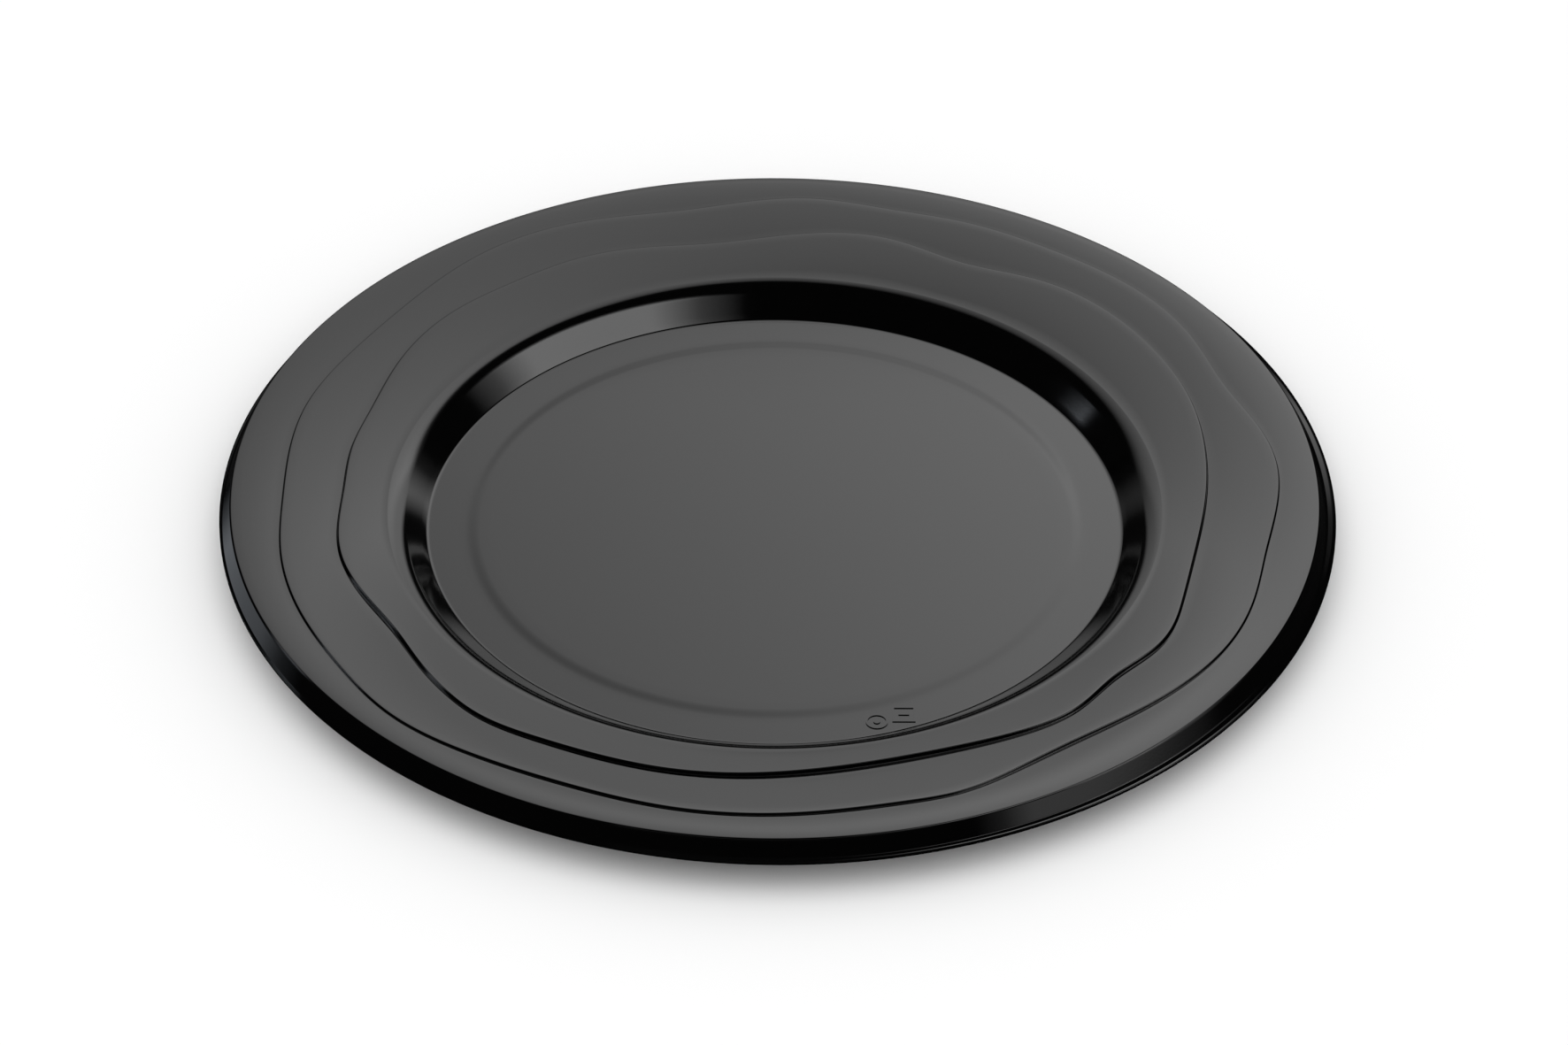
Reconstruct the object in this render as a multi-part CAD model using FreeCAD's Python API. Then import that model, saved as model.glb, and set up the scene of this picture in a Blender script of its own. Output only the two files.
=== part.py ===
import FreeCAD, Part
import math
import os

# Round serving tray, thermoformed in one piece from thin black plastic sheet.
# Units: mm.  Origin: centre of the resting face, under the floor.  +Z up, -Y is the front.

SHEET = 0.9                   # thickness of the sheet

# Floor and well
PANEL_R = 83.0                # edge of the slightly raised middle panel
PANEL_RISE = 0.3
PANEL_RAMP = 2.0              # width of the ramp round the panel
FLOOR_Z = SHEET               # top of the floor's resting ring
FLOOR_R = 93.0                # where the floor starts to turn up
FLOOR_FILLET = 1.5            # between the floor and the wall
LIP_ROLL = 12.0               # roll-over from the wall to the rim
LIP_R = 104.2                 # where the roll-over meets the rim
LIP_Z = 8.2

# Rim: three tiers that climb outwards and flatten off, each one set down at a wavy step
TIER_START = [LIP_R, 117.0, 133.0]
TIER_SLOPE = [0.240, 0.243, 0.218]        # rise per mm at the start
TIER_EASE = [0.0039, 0.0049, 0.0121]      # slope lost per mm outwards
TIER_DROP = [0.0, 1.15, 0.80]             # step down at the start
STEP_LEAN = 0.42              # outward run of a step per mm of drop
MEAN_SLOPE = 0.2              # of all the tiers, for carrying the sheet's thickness down
TIER_REACH = 142.0            # the two raised tiers are drawn out to here and cut at their steps
SHOULDER_R = 145.2
SHOULDER_ROUND = 0.9

# Skirt and trimmed edge
SKIRT_TOP_R = 145.9
SKIRT_FOOT_R = 148.2
EDGE_Z = 8.8                  # top of the trimmed edge
FOOT_FILLET = 1.3             # from the skirt to the trimmed edge
TRIM_R = 149.9
TRIM_CENTRE = (0.8, 0.7)      # the edge is trimmed a little off centre

# Wavy steps: (degrees from +X, radius of the step's top edge).  Neither list starts at 0,
# where the turned faces have their seam.
INNER_WAVE = [
    (11, 118.8), (22, 121.9), (33, 123.8), (44, 124.7), (53, 123.3), (64, 120.0), (75, 123.1),
    (87, 121.4), (99, 118.6), (108, 120.5), (117, 122.2), (127, 121.9), (138, 122.2),
    (150, 119.9), (161, 116.9), (170, 116.6), (179, 115.9), (194, 118.1), (202, 116.4),
    (210, 114.7), (218, 116.8), (225, 119.4), (232, 121.0), (240, 119.5), (248, 118.6),
    (256, 118.3), (265, 117.1), (274, 115.1), (286, 113.8), (294, 115.0), (302, 117.8),
    (310, 119.4), (319, 116.9), (327, 119.0), (337, 116.3), (348, 114.1), (0, 115.8),
]
OUTER_WAVE = [
    (4, 135.8), (12, 134.5), (21, 132.3), (31, 135.0), (41, 136.7), (55, 136.0), (67, 136.0),
    (76, 135.4), (86, 136.8), (101, 133.6), (115, 136.5), (128, 136.5), (139, 133.6),
    (150, 132.4), (164, 133.3), (182, 131.8), (193, 133.9), (204, 135.3), (215, 136.2),
    (225, 137.8), (236, 135.8), (247, 134.2), (259, 135.3), (272, 135.0), (284, 134.2),
    (290, 134.6), (298, 131.6), (305, 129.8), (315, 131.9), (329, 135.5), (338, 134.7),
    (348, 132.9),
]

# Small raised marks on the floor's outer ring
MARK_RISE = 0.25
MARK_LINE = 0.5
MARK_ROOT = 0.2               # the marks start this far inside the sheet
RING_R = 2.9
DOT_R = 0.9
BOX_SIDE = 6.0
BAR = 2.8
RING_MARK = (26.5, -84.3)
BOX_MARK = (33.5, -81.4)

DEEP = -6.0                   # the working solids reach down to here
STEP_DEPTH = 9.0              # a step's leaning face is drawn this far below its mean height
STEP_ABOVE = 2.0              # and this far above
CORE_R = 126.0                # inside here the outermost tier dips under the other two
CORE_Z = 6.0                  # down to this height at the lip
HIGH = 30.0


def tier_z(r, tier):
    """Height of the rim's top face at radius r; tier 0 is the innermost."""
    if tier == 0:
        z = LIP_Z
    else:
        z = tier_z(TIER_START[tier], tier - 1) - TIER_DROP[tier]
    out = r - TIER_START[tier]
    return z + TIER_SLOPE[tier] * out - TIER_EASE[tier] * out ** 2 / 2


def vec(r, z):
    return FreeCAD.Vector(r, 0, z)


def spun(edges):
    """Solid of revolution about +Z from a closed outline in the XZ plane."""
    face = Part.Face(Part.Wire(edges))
    return face.revolve(FreeCAD.Vector(0, 0, 0), FreeCAD.Vector(0, 0, 1), 360)


def chain(points):
    return [Part.makeLine(vec(*a), vec(*b)) for a, b in zip(points, points[1:])]


def arc(centre, radius, start_deg, end_deg):
    """Arc in the XZ plane, degrees from +X towards +Z."""
    def at(deg):
        a = math.radians(deg)
        return vec(centre[0] + radius * math.cos(a), centre[1] + radius * math.sin(a))
    return Part.Arc(at(start_deg), at((start_deg + end_deg) / 2), at(end_deg)).toShape()


def wave_wire(wave, tier, z, z_mean, inset):
    """Closed outline of a step at height z; it widens as it goes down."""
    def spline(points):
        curve = Part.BSplineCurve()
        curve.interpolate(Points=points, PeriodicFlag=True)
        return curve

    def plan(deg, r):
        a = math.radians(deg)
        return FreeCAD.Vector(r * math.cos(a), r * math.sin(a), z)

    base = [plan(d, r + (tier_z(r, tier) - z_mean) * STEP_LEAN) for d, r in wave]
    curve = spline(base)
    grow = (z_mean - z) * STEP_LEAN - inset
    moved = []
    for p in base:
        t = curve.tangent(curve.parameter(p))[0]
        moved.append(p + FreeCAD.Vector(t.y, -t.x, 0).normalize() * grow)
    return Part.Wire(spline(moved).toShape())


def stepped(wave, tier, inset):
    """Solid inside a wavy step, with the step's leaning face as its side."""
    z_mean = tier_z(sum(r for _, r in wave) / len(wave), tier)
    low = wave_wire(wave, tier, z_mean - STEP_DEPTH, z_mean, inset)
    high = wave_wire(wave, tier, z_mean + STEP_ABOVE, z_mean, inset)
    return Part.makeLoft([low, high], True, True)


def tier_face(tier, near, reach, lower):
    """Outline of one tier's domed top face between two radii, moved down by lower."""
    half = (reach - near) / 2
    slope = TIER_SLOPE[tier] - TIER_EASE[tier] * (near - TIER_START[tier])
    start = vec(near, tier_z(near, tier) - lower)
    end = vec(reach, tier_z(reach, tier) - lower)
    # the face is a parabola, drawn by its two ends and the corner of its tangents
    dome = Part.BezierCurve()
    dome.setPoles([start, vec(near + half, start.z + slope * half), end])
    return start, dome.toShape(), end


def tier_body(tier, reach, lower):
    """Everything under one tier's face, out to radius reach; the well is cut later."""
    start, dome, end = tier_face(tier, LIP_R - 2, reach, lower)
    rest = chain([(end.x, end.z), (reach, DEEP), (0, DEEP), (0, start.z), (start.x, start.z)])
    return spun([dome] + rest)


def outer_body(gauge):
    """Outermost tier with the shoulder, skirt and edge; gauge is the depth below the top skin."""
    drop = gauge / math.cos(math.atan(MEAN_SLOPE))
    top_z = tier_z(SHOULDER_R, 2)
    lean = math.atan2(SKIRT_FOOT_R - SKIRT_TOP_R, top_z - EDGE_Z)
    shift = gauge / math.cos(lean)
    run = math.tan(lean)

    def skirt_r(z):
        return SKIRT_TOP_R - shift + (top_z - z) * run

    # corner where the tier's face meets the skirt's face
    corner_r = SKIRT_TOP_R - shift
    for _ in range(30):
        corner_r = skirt_r(tier_z(corner_r, 2) - drop)
    corner_z = tier_z(corner_r, 2) - drop
    edge_z = EDGE_Z - gauge
    far = TRIM_R + 10
    start, dome, corner = tier_face(2, CORE_R, corner_r, drop)
    core_z = CORE_Z - gauge
    rest = chain([(corner.x, corner.z), (skirt_r(edge_z), edge_z), (far, edge_z), (far, DEEP),
                  (0, DEEP), (0, core_z), (LIP_R, core_z), (start.x, start.z)])
    body = spun([dome] + rest)
    rounded = [e for e in body.Edges if abs(e.BoundBox.ZMax - corner_z) < 1e-3
               and e.BoundBox.ZLength < 1e-3 and abs(e.BoundBox.XMax - corner_r) < 1e-3]
    body = body.makeFillet(max(SHOULDER_ROUND - gauge * 0.6, 0.3), rounded)
    foot = [e for e in body.Edges if abs(e.BoundBox.ZMax - edge_z) < 1e-3
            and e.BoundBox.ZLength < 1e-3 and e.BoundBox.XMax < far - 1]
    return body.makeFillet(FOOT_FILLET + gauge * 0.5, foot)


def well(gauge):
    """Space above the floor and inside the wall, moved down and out by gauge."""
    s = math.atan(TIER_SLOPE[0])
    # roll-over arc: its centre is below the rim's face
    cx, cz = LIP_R + LIP_ROLL * math.sin(s), LIP_Z - LIP_ROLL * math.cos(s)
    roll = LIP_ROLL - gauge
    lip = (cx - roll * math.sin(s), cz + roll * math.cos(s))
    # floor fillet: its centre is above the floor
    centre = (FLOOR_R, FLOOR_Z + FLOOR_FILLET)
    fil = FLOOR_FILLET + gauge
    floor_z = FLOOR_Z - gauge
    # the wall is the straight line that touches both arcs
    across, down = cx - centre[0], centre[1] - cz
    a = math.asin((roll + fil) / math.hypot(across, down)) - math.atan2(down, across)
    foot = (centre[0] + fil * math.sin(a), centre[1] - fil * math.cos(a))
    wall_top = (cx - roll * math.sin(a), cz + roll * math.cos(a))
    wall_deg = math.degrees(a)
    edges = [Part.makeLine(vec(0, HIGH), vec(0, floor_z + PANEL_RISE)),
             Part.makeLine(vec(0, floor_z + PANEL_RISE),
                           vec(PANEL_R - PANEL_RAMP, floor_z + PANEL_RISE)),
             Part.makeLine(vec(PANEL_R - PANEL_RAMP, floor_z + PANEL_RISE),
                           vec(PANEL_R, floor_z)),
             Part.makeLine(vec(PANEL_R, floor_z), vec(centre[0], floor_z)),
             arc(centre, fil, -90, -90 + wall_deg),
             Part.makeLine(vec(*foot), vec(*wall_top)),
             arc((cx, cz), roll, 90 + wall_deg, 90 + math.degrees(s)),
             Part.makeLine(vec(*lip), vec(lip[0], HIGH)),
             Part.makeLine(vec(lip[0], HIGH), vec(0, HIGH))]
    return spun(edges)


def skin(gauge):
    """Solid under the tray's top skin (gauge 0) or under its lower skin (gauge = SHEET)."""
    drop = gauge / math.cos(math.atan(MEAN_SLOPE))
    inset = gauge * math.sqrt(1 + STEP_LEAN ** 2)
    body = outer_body(gauge)
    for wave, tier in ((OUTER_WAVE, 1), (INNER_WAVE, 0)):
        raised = tier_body(tier, TIER_REACH, drop).common(stepped(wave, tier, inset))
        body = body.fuse(raised)
    return body.cut(well(gauge))


def marks():
    """Plain raised outlines: a ring with a dot, and a square with a bar."""
    z = FLOOR_Z - MARK_ROOT
    h = MARK_ROOT + MARK_RISE

    def disc(x, y, r):
        return Part.makeCylinder(r, h, FreeCAD.Vector(x, y, z))

    def block(x, y, w, d):
        return Part.makeBox(w, d, h, FreeCAD.Vector(x - w / 2, y - d / 2, z))

    x, y = RING_MARK
    ring = disc(x, y, RING_R).cut(disc(x, y, RING_R - MARK_LINE)).fuse(disc(x, y, DOT_R))
    x, y = BOX_MARK
    inner = BOX_SIDE - 2 * MARK_LINE
    box = block(x, y, BOX_SIDE, BOX_SIDE).cut(block(x, y, inner, inner))
    return [ring, box.fuse(block(x, y, BAR, MARK_LINE))]


def tray():
    body = skin(0).cut(skin(SHEET))
    trim = Part.makeCylinder(TRIM_R, HIGH, FreeCAD.Vector(*TRIM_CENTRE, DEEP))
    body = body.common(trim)
    for mark in marks():
        body = body.fuse(mark)
    return max(body.Solids, key=lambda piece: piece.Volume)


os.makedirs("parts", exist_ok=True)
shape = tray()
print("tray_moulding", shape.isValid(), len(shape.Faces), round(shape.Volume, 1), shape.BoundBox)
shape.exportStep("parts/tray_moulding.step")
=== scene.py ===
import math

import bpy
import numpy as np
from mathutils import Matrix, Vector


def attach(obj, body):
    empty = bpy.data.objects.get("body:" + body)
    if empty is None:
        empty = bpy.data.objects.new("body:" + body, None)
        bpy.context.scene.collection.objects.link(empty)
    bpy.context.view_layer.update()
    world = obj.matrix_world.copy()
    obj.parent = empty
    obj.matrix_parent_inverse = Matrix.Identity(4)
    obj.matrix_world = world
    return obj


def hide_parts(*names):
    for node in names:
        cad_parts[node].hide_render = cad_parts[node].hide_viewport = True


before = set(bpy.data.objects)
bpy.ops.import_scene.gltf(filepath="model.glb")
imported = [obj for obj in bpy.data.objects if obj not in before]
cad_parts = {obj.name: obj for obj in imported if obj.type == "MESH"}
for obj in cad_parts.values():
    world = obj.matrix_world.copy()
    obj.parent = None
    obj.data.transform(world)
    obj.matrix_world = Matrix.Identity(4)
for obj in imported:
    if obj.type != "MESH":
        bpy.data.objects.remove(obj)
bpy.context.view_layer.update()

MM = 0.001

# ---------------------------------------------------------------- tray dimensions, mm
SHEET = 0.9
PANEL_R, PANEL_RISE, PANEL_RAMP = 83.5, 0.3, 4.0
FLOOR_R = 93.0                            # where the floor starts to turn up
FLOOR_FILLET = 1.5
LIP_ROLL = 12.0
LIP_R, LIP_Z = 104.2, 8.2
TIER_START = (LIP_R, 117.0, 133.0)
TIER_SLOPE = (0.240, 0.243, 0.218)        # rise per mm at the start of a tier
TIER_EASE = (0.0039, 0.0049, 0.0121)      # slope lost per mm outwards
TIER_DROP = (0.0, 1.15, 0.80)
MEAN_SLOPE = 0.2
STEP_LEAN = 0.42
SAG_RUN = 3.0                             # a terrace rolls off a little before its edge
SAG_FRONT, SAG_BACK = 0.005, 0.018
SHOULDER_R = 145.2
SKIRT_TOP_R = 145.9
FOOT_R, FOOT_Z = 148.3, 9.4
EDGE_SLOPE = math.tan(math.radians(20))
TRIM_R = 149.85
TRIM_X, TRIM_Y = 0.8, 0.7                 # the edge is trimmed a little off centre
RING_MARK, BOX_MARK = (26.5, -84.3), (33.5, -81.4)
MARK_ROOT, MARK_RISE, MARK_LINE = 0.1, 0.25, 0.5
RING_R, DOT_R = 2.9, 0.9
BOX_SIDE, BAR = 6.0, 2.8
# rounding of the edges: top skin, lower skin
STEP_ROUND, STEP_ROUND_BACK, STEP_ROUND_LOWER = 0.35, 0.45, 0.2
STEP_FOOT = (0.25, 0.8)
OUTER_STEP_ROUND = 0.8                    # the step radii times this at the outer, lower step
SHOULDER_ROUND = (0.7, 0.35)
SKIRT_FOOT = (0.35, 0.8)
EDGE_BREAK = 0.05

# wavy steps: degrees from +X, radius of the top edge
INNER_WAVE = [
    (11, 118.8), (22, 121.9), (33, 123.8), (44, 124.7), (53, 123.3), (64, 120.0), (75, 123.1),
    (87, 121.4), (99, 118.6), (108, 120.5), (117, 122.2), (127, 121.9), (138, 122.2),
    (150, 119.9), (161, 116.9), (170, 116.6), (179, 115.9), (194, 118.1), (202, 116.4),
    (210, 114.7), (218, 116.8), (225, 119.4), (232, 121.0), (240, 119.5), (248, 118.6),
    (256, 118.3), (265, 117.1), (274, 115.1), (286, 113.8), (294, 115.0), (302, 117.8),
    (310, 119.4), (319, 116.9), (327, 119.0), (337, 116.3), (348, 114.1), (360, 115.8),
]
OUTER_WAVE = [
    (4, 135.8), (12, 134.5), (21, 132.3), (31, 135.0), (41, 136.7), (55, 136.0), (67, 136.0),
    (76, 135.4), (86, 136.8), (101, 133.6), (115, 136.5), (128, 136.5), (139, 133.6),
    (150, 132.4), (164, 133.3), (182, 131.8), (193, 133.9), (204, 135.3), (215, 136.2),
    (225, 137.8), (236, 135.8), (247, 134.2), (259, 135.3), (272, 135.0), (284, 134.2),
    (290, 134.6), (298, 131.6), (305, 129.8), (315, 131.9), (329, 135.5), (338, 134.7),
    (348, 132.9),
]
AZIMUTHS = 1440
END_RING = 0.12                           # from a run's end to the ring that holds its shading


def periodic_spline(points, count):
    """Smooth closed curve r(angle) through the points; returns r and dr/dangle."""
    x = np.radians([p[0] for p in points])
    y = np.array([p[1] for p in points], float)
    n = len(x)
    h = np.diff(np.append(x, x[0] + 2 * np.pi))
    a = np.zeros((n, n))
    b = np.zeros(n)
    for i in range(n):
        prev, nxt = (i - 1) % n, (i + 1) % n
        a[i, prev] += h[prev]
        a[i, i] += 2 * (h[prev] + h[i])
        a[i, nxt] += h[i]
        b[i] = 6 * ((y[nxt] - y[i]) / h[i] - (y[i] - y[prev]) / h[prev])
    m = np.linalg.solve(a, b)
    t = np.linspace(0, 2 * np.pi, count, endpoint=False)
    k = np.searchsorted(x, t, side="right") - 1
    k = np.where(k < 0, n - 1, k)
    nxt = (k + 1) % n
    u = (t - x[k]) % (2 * np.pi)
    hk = h[k]
    v = hk - u
    r = (m[k] * v ** 3 + m[nxt] * u ** 3) / (6 * hk)
    r += (y[k] / hk - m[k] * hk / 6) * v + (y[nxt] / hk - m[nxt] * hk / 6) * u
    dr = (-m[k] * v ** 2 + m[nxt] * u ** 2) / (2 * hk)
    dr += (y[nxt] - y[k]) / hk - (m[nxt] - m[k]) * hk / 6
    return r, dr


def tier_z(r, tier):
    """Height of a tier's domed top at radius r."""
    z = LIP_Z if tier == 0 else tier_z(TIER_START[tier], tier - 1) - TIER_DROP[tier]
    out = r - TIER_START[tier]
    return z + TIER_SLOPE[tier] * out - TIER_EASE[tier] * out ** 2 / 2


class Outline:
    """Meridian of the sheet, one (r, z) pair per azimuth for every point along it."""

    def __init__(self):
        self.rings = []

    def add(self, r, z):
        ones = np.ones(AZIMUTHS)
        self.rings.append((r * ones, z * ones))

    def line(self, a, b, count):
        """Evenly spaced rings from a to b, without a."""
        for i in range(1, count + 1):
            f = i / count
            self.add(a[0] + (b[0] - a[0]) * f, a[1] + (b[1] - a[1]) * f)

    def path(self, corners):
        """Polyline with rounded corners; each corner is (r, z, radius, arc steps, run rings)."""
        ones = np.ones(AZIMUTHS)
        pts = [np.stack([c[0] * ones, c[1] * ones]) for c in corners]
        prev_end = pts[0]
        self.add(*pts[0])
        for i in range(1, len(corners)):
            _, _, radius, steps, runs = corners[i]
            here = pts[i]
            if i == len(corners) - 1 or np.all(np.equal(radius, 0)):
                start = end = here
                arc = []
            else:
                a = pts[i - 1] - here
                b = pts[i + 1] - here
                a = a / np.hypot(*a)
                b = b / np.hypot(*b)
                half = np.arccos(np.clip((a * b).sum(0), -1, 1)) / 2
                cut = radius / np.tan(half)
                start, end = here + a * cut, here + b * cut
                bis = (a + b) / np.hypot(*(a + b))
                centre = here + bis * radius / np.sin(half)
                s, e = start - centre, end - centre
                full = np.arccos(np.clip((s * e).sum(0) / radius ** 2, -1, 1))
                arc = []
                for k in range(1, steps):
                    f = k / steps
                    w = (s * np.sin((1 - f) * full) + e * np.sin(f * full)) / np.sin(full)
                    arc.append(centre + w)
            # straight run up to the corner, with a ring close to each end to hold the shading
            span = start - prev_end
            length = np.hypot(*span)
            near = np.minimum(END_RING / np.maximum(length, 1e-6), 0.3)
            inner = [(k / runs) * ones for k in range(1, runs)]
            fractions = [near] + inner + [1 - near, ones] if runs else [ones]
            for f in fractions:
                self.add(*(prev_end + span * f))
            for p in arc:
                self.add(*p)
            if arc:
                self.add(*end)
            prev_end = end


def tray_rings():
    """All rings from the middle of the floor out over the rim, round the edge and back below."""
    wi, dwi = periodic_spline(INNER_WAVE, AZIMUTHS)
    wo, dwo = periodic_spline(OUTER_WAVE, AZIMUTHS)
    ci, co = np.hypot(1, dwi / wi), np.hypot(1, dwo / wo)
    t = np.linspace(0, 2 * np.pi, AZIMUTHS, endpoint=False)
    along = TRIM_X * np.cos(t) + TRIM_Y * np.sin(t)
    across = TRIM_Y * np.cos(t) - TRIM_X * np.sin(t)
    trim = along + np.sqrt(TRIM_R ** 2 - across ** 2)
    s = math.atan(TIER_SLOPE[0])
    back = np.maximum(0, np.sin(t))           # the moulding is softer towards the back
    sag = SAG_FRONT + (SAG_BACK - SAG_FRONT) * back
    sag_end = sag * SAG_RUN ** 2

    def half(gauge):
        """Rings of one skin; gauge is its depth below the top skin."""
        part = Outline()
        cx, cz = LIP_R + LIP_ROLL * math.sin(s), LIP_Z - LIP_ROLL * math.cos(s)
        roll = LIP_ROLL - gauge
        fil = FLOOR_FILLET + gauge
        floor_z = SHEET - gauge
        # the wall is the straight line that touches the floor fillet and the roll-over
        out_r, down = cx - FLOOR_R, SHEET + FLOOR_FILLET - cz
        a = math.asin((roll + fil) / math.hypot(out_r, down)) - math.atan2(down, out_r)
        top = (cx - roll * math.sin(a), cz + roll * math.cos(a))
        foot_r, foot_z = FLOOR_R + fil * math.sin(a), floor_z + fil * (1 - math.cos(a))
        # floor
        for r in (1.0, 6.0, 14, 24, 36, 48, 60, 70, 76, PANEL_R - PANEL_RAMP):
            part.add(r, floor_z + PANEL_RISE)
        for k in range(1, 7):
            f = k / 6
            ease = 0.5 + 0.5 * math.cos(math.pi * f)
            part.add(PANEL_R - PANEL_RAMP * (1 - f), floor_z + PANEL_RISE * ease)
        part.line((PANEL_R, floor_z), (FLOOR_R - 0.3, floor_z), 5)
        part.add(FLOOR_R, floor_z)
        for k in range(1, 9):
            b = a * k / 8
            part.add(FLOOR_R + fil * math.sin(b), floor_z + fil * (1 - math.cos(b)))
        part.line((foot_r, foot_z), top, 4)
        for k in range(1, 33):
            b = a + (s - a) * k / 32
            part.add(cx - roll * math.sin(b), cz + roll * math.cos(b))
        lip = (cx - roll * math.sin(s), cz + roll * math.cos(s))
        drop = gauge * math.hypot(1, MEAN_SLOPE)
        shift_i = gauge * math.sqrt(1 + STEP_LEAN ** 2) * ci
        shift_o = gauge * math.sqrt(1 + STEP_LEAN ** 2) * co

        def edge(w, shift, c, tier):
            # crossing of a step's leaning face with the skins above and below it
            k = STEP_LEAN * c
            r1 = r2 = w
            for _ in range(40):
                r1 = w - shift + (tier_z(w, tier) - tier_z(r1, tier) + drop + sag_end) * k
                r2 = w - shift + (tier_z(w, tier) - tier_z(r2, tier + 1) + drop) * k
            return ((r1, tier_z(r1, tier) - drop - sag_end),
                    (r2, tier_z(r2, tier + 1) - drop))

        def terrace(tier, start, end):
            # points along a domed tier, closer together where it rolls off to its edge
            spots = [start + (end - SAG_RUN - start) * k / 5 for k in range(1, 6)]
            spots += [end - SAG_RUN * f for f in (0.8, 0.6, 0.42, 0.28)]
            return [(r, tier_z(r, tier) - drop - sag * np.maximum(0, SAG_RUN - (end - r)) ** 2,
                     0, 0, 0) for r in spots]

        i_top, i_bot = edge(wi, shift_i, ci, 0)
        o_top, o_bot = edge(wo, shift_o, co, 1)
        skin = 0 if gauge == 0 else 1
        convex = STEP_ROUND_LOWER if skin else STEP_ROUND + STEP_ROUND_BACK * back
        concave = STEP_FOOT[skin]
        top_z = tier_z(SHOULDER_R, 2)
        lean = math.atan2(FOOT_R - SKIRT_TOP_R, top_z - FOOT_Z)
        side = gauge / math.cos(lean)
        run = math.tan(lean)
        fall = drop + sag_end
        corner_r = SKIRT_TOP_R - side
        for _ in range(40):
            corner_r = SKIRT_TOP_R - side + (top_z - (tier_z(corner_r, 2) - fall)) * run
        corner = (corner_r, tier_z(corner_r, 2) - fall)
        # foot of the skirt, where it meets the sloping edge
        edge_drop = gauge * math.hypot(1, EDGE_SLOPE)
        foot_r2 = FOOT_R - side
        for _ in range(40):
            z = FOOT_Z - EDGE_SLOPE * (foot_r2 - FOOT_R) - edge_drop
            foot_r2 = SKIRT_TOP_R - side + (top_z - z) * run
        foot = (foot_r2, FOOT_Z - EDGE_SLOPE * (foot_r2 - FOOT_R) - edge_drop)
        rim = (trim, FOOT_Z - EDGE_SLOPE * (trim - FOOT_R) - edge_drop)
        part.path([
            (*lip, 0, 0, 0),
            *terrace(0, lip[0], i_top[0]),
            (*i_top, convex, 8, 0), (*i_bot, concave, 7, 2),
            *terrace(1, i_bot[0], o_top[0]),
            (*o_top, convex * OUTER_STEP_ROUND, 8, 0), (*o_bot, concave * OUTER_STEP_ROUND, 7, 2),
            *terrace(2, o_bot[0], corner[0]),
            (*corner, SHOULDER_ROUND[skin], 12, 0),
            (*foot, SKIRT_FOOT[skin], 8, 4),
            (*rim, 0, 0, 2)])
        return part.rings

    upper = half(0.0)
    lower = half(SHEET)
    # cut edge, with its corners just broken
    u, d = upper[-1], lower[-1]
    rings = upper[:-1]
    for f in (0.06, 0.12, 0.5, 0.88, 0.94):
        inset = EDGE_BREAK if f in (0.06, 0.94) else 0.0
        rings.append((u[0] - inset + (d[0] - u[0]) * f, u[1] + (d[1] - u[1]) * f))
    return rings + lower[::-1][1:]


def floor_marks():
    """Corners and faces of the two plain raised marks: a ring with a dot, a square with a bar."""
    low, high = SHEET - MARK_ROOT, SHEET + MARK_RISE
    points, faces = [], []

    def prism(loops):
        # one loop of corners gives a solid outline, two give a hollow one
        n = len(loops[0])
        base = len(points)
        for z in (low, high):
            for loop in loops:
                points.extend((x, y, z) for x, y in loop)
        rows = [[base + k * n + i for i in range(n)] for k in range(2 * len(loops))]
        sides = [(rows[0], rows[len(loops)])]
        if len(loops) == 2:
            sides += [(rows[3], rows[1]), (rows[2], rows[3])]
        for lower_row, upper_row in sides:
            for i in range(n):
                j = (i + 1) % n
                faces.append((lower_row[i], lower_row[j], upper_row[j], upper_row[i]))
        if len(loops) == 1:
            faces.append(tuple(rows[1]))

    def circle(x, y, r, n=48):
        return [(x + r * math.cos(2 * math.pi * i / n), y + r * math.sin(2 * math.pi * i / n))
                for i in range(n)]

    def box(x, y, w, d):
        return [(x - w / 2, y - d / 2), (x + w / 2, y - d / 2), (x + w / 2, y + d / 2),
                (x - w / 2, y + d / 2)]

    inner = BOX_SIDE - 2 * MARK_LINE
    prism([circle(*RING_MARK, RING_R), circle(*RING_MARK, RING_R - MARK_LINE)])
    prism([circle(*RING_MARK, DOT_R)])
    prism([box(*BOX_MARK, BOX_SIDE, BOX_SIDE), box(*BOX_MARK, inner, inner)])
    prism([box(*BOX_MARK, BAR, MARK_LINE)])
    return points, faces


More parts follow.
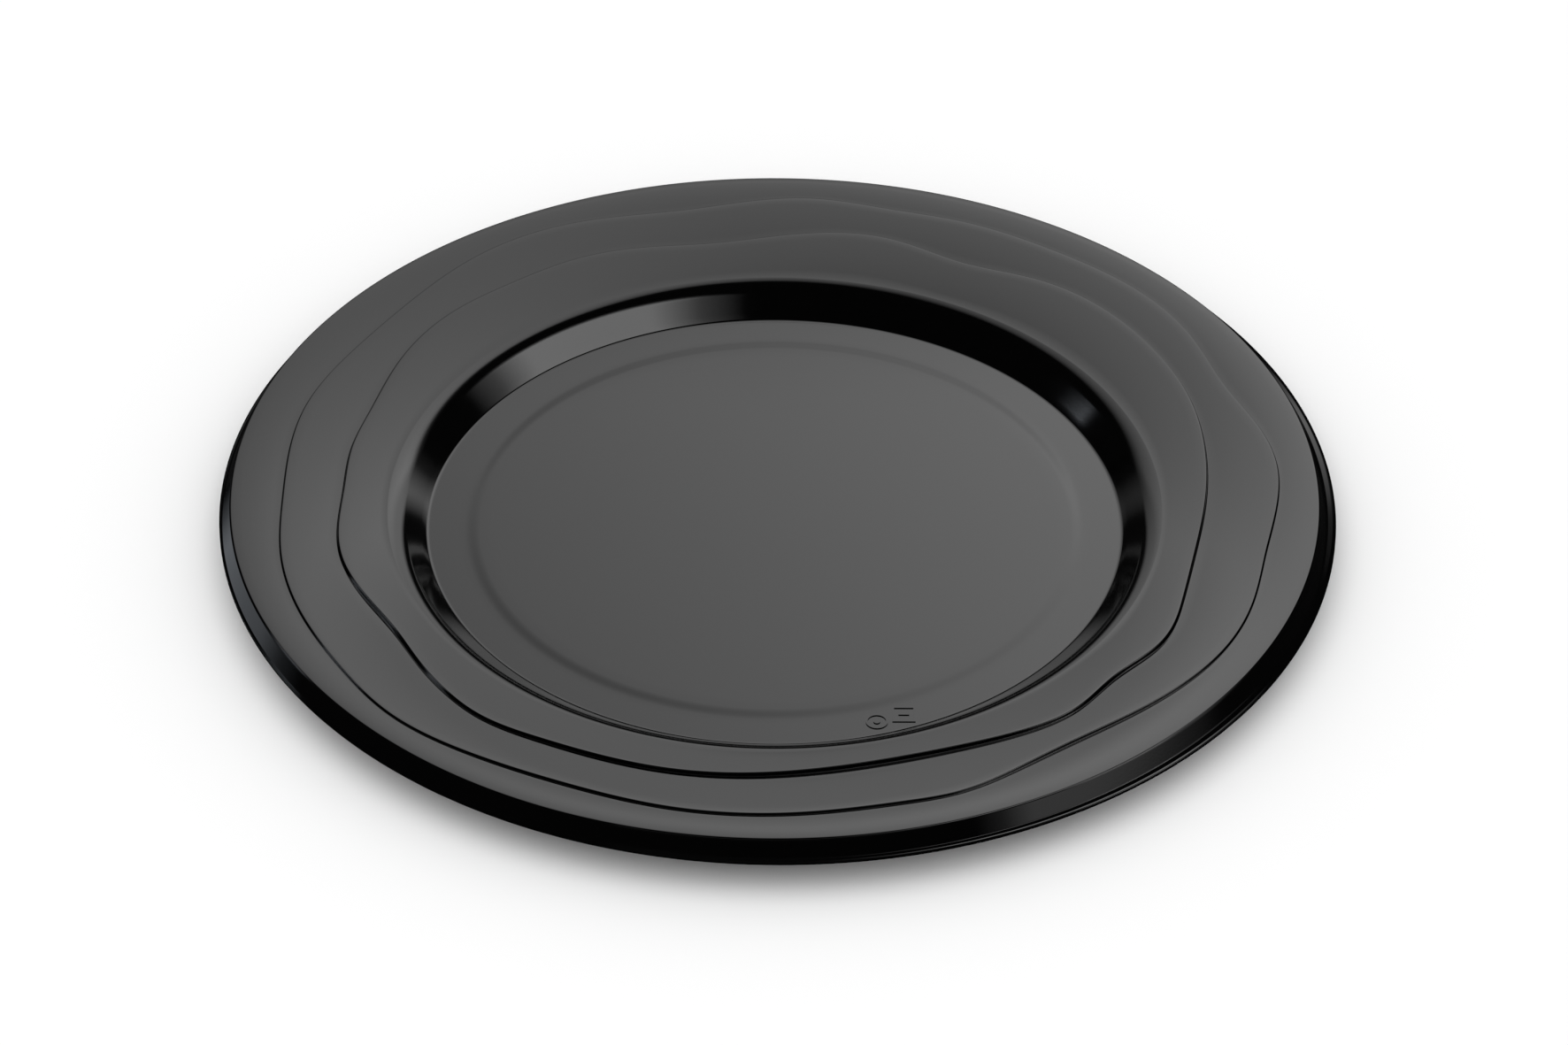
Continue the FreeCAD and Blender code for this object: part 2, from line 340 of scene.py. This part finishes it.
def shell_mesh(name):
    """The tray as one mesh: the sheet, closed at its middle, and the marks on its floor."""
    rings = tray_rings()
    t = np.linspace(0, 2 * np.pi, AZIMUTHS, endpoint=False)
    cos_t, sin_t = np.cos(t), np.sin(t)
    co = [np.stack([r * cos_t, r * sin_t, z], -1) for r, z in rings]
    n_rings = len(co)
    co = np.concatenate(co)
    top_z, low_z = rings[0][1][0], rings[-1][1][0]
    co = np.vstack([co, [[0, 0, top_z]], [[0, 0, low_z]]]) * MM
    i = np.arange(AZIMUTHS)
    j = (i + 1) % AZIMUTHS
    quads = []
    for k in range(n_rings - 1):
        a, b = k * AZIMUTHS, (k + 1) * AZIMUTHS
        quads.append(np.stack([a + i, b + i, b + j, a + j], -1))
    quads = np.concatenate(quads)
    mid, low = n_rings * AZIMUTHS, n_rings * AZIMUTHS + 1
    last = (n_rings - 1) * AZIMUTHS
    faces = quads.tolist()
    faces += np.stack([i, j, np.full(AZIMUTHS, mid)], -1).tolist()
    faces += np.stack([last + j, last + i, np.full(AZIMUTHS, low)], -1).tolist()
    smooth = [True] * len(faces)
    mark_points, mark_faces = floor_marks()
    faces += [tuple(len(co) + v for v in face) for face in mark_faces]
    smooth += [False] * len(mark_faces)
    co = np.vstack([co, np.array(mark_points) * MM])
    mesh = bpy.data.meshes.new(name)
    mesh.from_pydata(co.tolist(), [], faces)
    mesh.polygons.foreach_set("use_smooth", smooth)
    mesh.update()
    obj = bpy.data.objects.new(name, mesh)
    bpy.context.collection.objects.link(obj)
    return obj


def black_plastic(name):
    """Glossy black plastic with a slight grain."""
    mat = bpy.data.materials.new(name)
    mat.use_nodes = True
    nodes, links = mat.node_tree.nodes, mat.node_tree.links
    shader = nodes["Principled BSDF"]
    shader.inputs["Base Color"].default_value = (0.0004, 0.0004, 0.00045, 1)
    shader.inputs["IOR"].default_value = 1.5
    coords = nodes.new("ShaderNodeTexCoord")
    # satin grain: roughness drifts slowly and has a fine speckle
    drift = nodes.new("ShaderNodeTexNoise")
    drift.inputs["Scale"].default_value = 14
    drift.inputs["Detail"].default_value = 3
    links.new(coords.outputs["Object"], drift.inputs["Vector"])
    fine = nodes.new("ShaderNodeTexNoise")
    fine.inputs["Scale"].default_value = 1900
    fine.inputs["Detail"].default_value = 2
    links.new(coords.outputs["Object"], fine.inputs["Vector"])
    blend = nodes.new("ShaderNodeMath")
    blend.operation = "MULTIPLY_ADD"
    links.new(fine.outputs["Fac"], blend.inputs[0])
    blend.inputs[1].default_value = 0.25
    links.new(drift.outputs["Fac"], blend.inputs[2])
    rough = nodes.new("ShaderNodeMapRange")
    rough.inputs["From Min"].default_value = 0.3
    rough.inputs["From Max"].default_value = 0.95
    rough.inputs["To Min"].default_value = 0.06
    rough.inputs["To Max"].default_value = 0.10
    links.new(blend.outputs[0], rough.inputs["Value"])
    links.new(rough.outputs["Result"], shader.inputs["Roughness"])
    bump = nodes.new("ShaderNodeBump")
    bump.inputs["Strength"].default_value = 0.12
    bump.inputs["Distance"].default_value = 0.00002
    links.new(fine.outputs["Fac"], bump.inputs["Height"])
    links.new(bump.outputs["Normal"], shader.inputs["Normal"])
    return mat


def area_light(name, centre, size, radiance):
    """Rectangular light of that radiance, aimed at the tray and hidden from the camera."""
    data = bpy.data.lights.new(name, "AREA")
    data.shape = "RECTANGLE"
    data.size, data.size_y = size
    data.energy = radiance * size[0] * size[1] * math.pi
    obj = bpy.data.objects.new(name, data)
    obj.location = centre
    obj.rotation_euler = (-Vector(centre)).to_track_quat("-Z", "Y").to_euler()
    obj.visible_camera = False
    bpy.context.collection.objects.link(obj)


# ---------------------------------------------------------------- the tray
plastic = black_plastic("black_plastic")
tray = shell_mesh("tray_sheet")
tray.data.materials.append(plastic)
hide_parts("tray_moulding")
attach(tray, "root")

# ---------------------------------------------------------------- floor, light and camera
floor_mesh = bpy.data.meshes.new("studio_floor")
HALF, GAP = 9.0, 0.0002                   # metres; the floor lies just clear of the tray
floor_mesh.from_pydata([(-HALF, -HALF, 0), (HALF, -HALF, 0), (HALF, HALF, 0), (-HALF, HALF, 0)],
                       [], [(0, 1, 2, 3)])
floor = bpy.data.objects.new("studio_floor", floor_mesh)
floor.location.z = -GAP
bpy.context.collection.objects.link(floor)
floor_mat = bpy.data.materials.new("studio_floor")
floor_mat.use_nodes = True
floor_shader = floor_mat.node_tree.nodes["Principled BSDF"]
floor_shader.inputs["Base Color"].default_value = (0.9, 0.9, 0.9, 1)
floor_shader.inputs["Roughness"].default_value = 0.9
floor_shader.inputs["Specular IOR Level"].default_value = 0.0
floor_mesh.materials.append(floor_mat)
floor.visible_glossy = False


def polar(elevation, azimuth, distance):
    """Point seen from the tray at that elevation; azimuth 0 is straight behind, 90 to the right."""
    e, a = math.radians(elevation), math.radians(azimuth)
    return (distance * math.cos(e) * math.sin(a), distance * math.cos(e) * math.cos(a),
            distance * math.sin(e))


def ramp(tree, value, low, high, stops):
    """Piecewise straight curve over low..high; returns the socket and its scale."""
    spread = tree.nodes.new("ShaderNodeMapRange")
    spread.inputs["From Min"].default_value = low
    spread.inputs["From Max"].default_value = high
    tree.links.new(value, spread.inputs["Value"])
    curve = tree.nodes.new("ShaderNodeValToRGB")
    scale = max(level for _, level in stops)
    elements = curve.color_ramp.elements
    while len(elements) < len(stops):
        elements.new(0.5)
    for element, (where, level) in zip(elements, stops):
        element.position = (where - low) / (high - low)
        grey = level / scale
        element.color = (grey, grey, grey, 1)
    tree.links.new(spread.outputs["Result"], curve.inputs["Fac"])
    return curve.outputs["Color"], scale


def multiply(tree, a, b):
    """Product of a socket and another socket or a plain number."""
    node = tree.nodes.new("ShaderNodeMath")
    node.operation = "MULTIPLY"
    tree.links.new(a, node.inputs[0])
    if isinstance(b, float):
        node.inputs[1].default_value = b
    else:
        tree.links.new(b, node.inputs[1])
    return node.outputs[0]


def glowing(name, corners, axes, curves, color=(1, 1, 1), strength=1.0):
    """Emissive sheet seen only in reflections; its brightness follows a curve along two axes."""
    mesh = bpy.data.meshes.new(name)
    mesh.from_pydata(corners, [], [(0, 1, 2, 3)])
    obj = bpy.data.objects.new(name, mesh)
    bpy.context.collection.objects.link(obj)
    mat = bpy.data.materials.new(name)
    mat.use_nodes = True
    tree = mat.node_tree
    tree.nodes.remove(tree.nodes["Principled BSDF"])
    glow = tree.nodes.new("ShaderNodeEmission")
    glow.inputs["Color"].default_value = (*color, 1)
    tree.links.new(glow.outputs[0], tree.nodes["Material Output"].inputs["Surface"])
    coords = tree.nodes.new("ShaderNodeTexCoord")
    split = tree.nodes.new("ShaderNodeSeparateXYZ")
    tree.links.new(coords.outputs["Object"], split.inputs[0])
    one, one_scale = ramp(tree, split.outputs[axes[0]], *curves[0])
    two, two_scale = ramp(tree, split.outputs[axes[1]], *curves[1])
    level = multiply(tree, multiply(tree, one, two), float(strength * one_scale * two_scale))
    tree.links.new(level, glow.inputs["Strength"])
    mesh.materials.append(mat)
    obj.visible_camera = False
    obj.visible_diffuse = False
    obj.visible_shadow = False
    return obj


# the softbox in metres, and its brightness: (sideways place or height, level)
KEY_LEFT, KEY_RIGHT, KEY_LOW, KEY_HIGH, KEY_BACK = -0.6, 0.62, 0.12, 2.0, 0.6
KEY_HEIGHT = ((0.12, 0.0), (0.19, 0.9), (0.30, 1.13), (0.40, 1.7), (0.56, 1.55), (0.80, 1.42),
              (1.05, 1.28), (1.5, 0.7), (2.0, 0.05))
KEY_SIDE = ((-0.6, 0.0), (-0.5, 0.02), (-0.4, 0.25), (-0.3, 0.5), (-0.14, 0.75), (0.0, 1.0),
            (0.125, 1.24), (0.3, 1.37), (0.4, 1.25), (0.52, 0.1), (0.62, 0.0))
PANEL_AWAY = 2.0
DAYLIGHT = (0.86, 0.92, 1.0)
FILL_SIZE, FILL_RADIANCE = (2.2, 0.5), 0.3
DOME, ROOM_GLOW = 1.12, 0.012             # on the floor, and in the tray's reflections


def softbox():
    """Tall diffuser behind the tray, brightest to the right and at middle height."""
    corners = [(KEY_LEFT, KEY_BACK, KEY_LOW), (KEY_RIGHT, KEY_BACK, KEY_LOW),
               (KEY_RIGHT, KEY_BACK, KEY_HIGH), (KEY_LEFT, KEY_BACK, KEY_HIGH)]
    curves = ((KEY_LEFT, KEY_RIGHT, KEY_SIDE), (KEY_LOW, KEY_HIGH, KEY_HEIGHT))
    glowing("key_softbox", corners, ("X", "Z"), curves)


def panel(name, start, end, depth, radiance, color=(1, 1, 1), soft=0.3):
    """Lit sheet facing the tray from one (elevation, azimuth) to another, with soft borders."""
    a, b = Vector(polar(*start, PANEL_AWAY)), Vector(polar(*end, PANEL_AWAY))
    w, d = (b - a).length / 2, depth / 2
    fade = [(-1, 0.0), (soft / 2 - 1, 0.25), (soft - 1, 1.0), (1 - soft, 1.0),
            (1 - soft / 2, 0.25), (1, 0.0)]
    obj = glowing(name, [(-w, -d, 0), (w, -d, 0), (w, d, 0), (-w, d, 0)], ("X", "Y"),
                  ((-w, w, [(f * w, level) for f, level in fade]),
                   (-d, d, [(f * d, level) for f, level in fade])), color, radiance)
    z = ((a + b) / 2).normalized()
    x = (b - a).normalized()
    turn = Matrix((x, z.cross(x).normalized(), z)).transposed().to_4x4()
    obj.matrix_world = Matrix.Translation((a + b) / 2) @ turn


softbox()
panel("right_panel", (32, 70), (63, 162), 0.66, 3.3, soft=0.6)
panel("right_low", (31, 94), (31, 122), 0.45, 3.6)
panel("left_window", (33, -74), (28, -62), 0.34, 3.0, DAYLIGHT, soft=0.45)
panel("left_low", (24, -80), (22, -70), 0.26, 3.0, DAYLIGHT)
panel("right_haze", (7, 84), (14, 144), 0.6, 0.8, soft=0.4)
panel("left_glow", (-20, -32), (-4, -84), 0.42, 0.6, DAYLIGHT, soft=0.6)
area_light("front_fill", polar(45, 180, 2.4), FILL_SIZE, FILL_RADIANCE)

# the room: white to the camera, an even dome for the floor, dim in the tray's reflections
world = bpy.data.worlds.new("studio")
bpy.context.scene.world = world
world.use_nodes = True
wn, wl = world.node_tree.nodes, world.node_tree.links
background = wn["Background"]
background.inputs["Color"].default_value = (1, 1, 1, 1)
path = wn.new("ShaderNodeLightPath")
room = wn.new("ShaderNodeMath")
room.operation = "MULTIPLY_ADD"
wl.new(path.outputs["Is Diffuse Ray"], room.inputs[0])
room.inputs[1].default_value = DOME
wl.new(path.outputs["Is Camera Ray"], room.inputs[2])
dim = wn.new("ShaderNodeMath")
dim.operation = "MULTIPLY_ADD"
wl.new(path.outputs["Is Glossy Ray"], dim.inputs[0])
dim.inputs[1].default_value = ROOM_GLOW
wl.new(room.outputs[0], dim.inputs[2])
wl.new(dim.outputs[0], background.inputs["Strength"])
world.cycles.sampling_method = "NONE"

# camera: focal length in mm on a 36 mm wide sensor, place in metres, angles in radians
LENS, SENSOR = 132.0542, 36.0
CAMERA_AT = (0, -1.2293, 0.9484)
TILT, PAN, ROLL = 0.6567, 0.0016, 0.0028
cam_data = bpy.data.cameras.new("camera")
cam_data.sensor_fit = "HORIZONTAL"
cam_data.sensor_width = SENSOR
cam_data.lens = LENS
cam_data.clip_end = 50
cam = bpy.data.objects.new("camera", cam_data)
turn = Matrix.Rotation(math.pi / 2 - TILT, 4, "X") @ Matrix.Rotation(-PAN, 4, "Y")
cam.matrix_world = Matrix.Translation(CAMERA_AT) @ turn @ Matrix.Rotation(ROLL, 4, "Z")
bpy.context.collection.objects.link(cam)
bpy.context.scene.camera = cam
bpy.context.scene.view_settings.view_transform = "Standard"
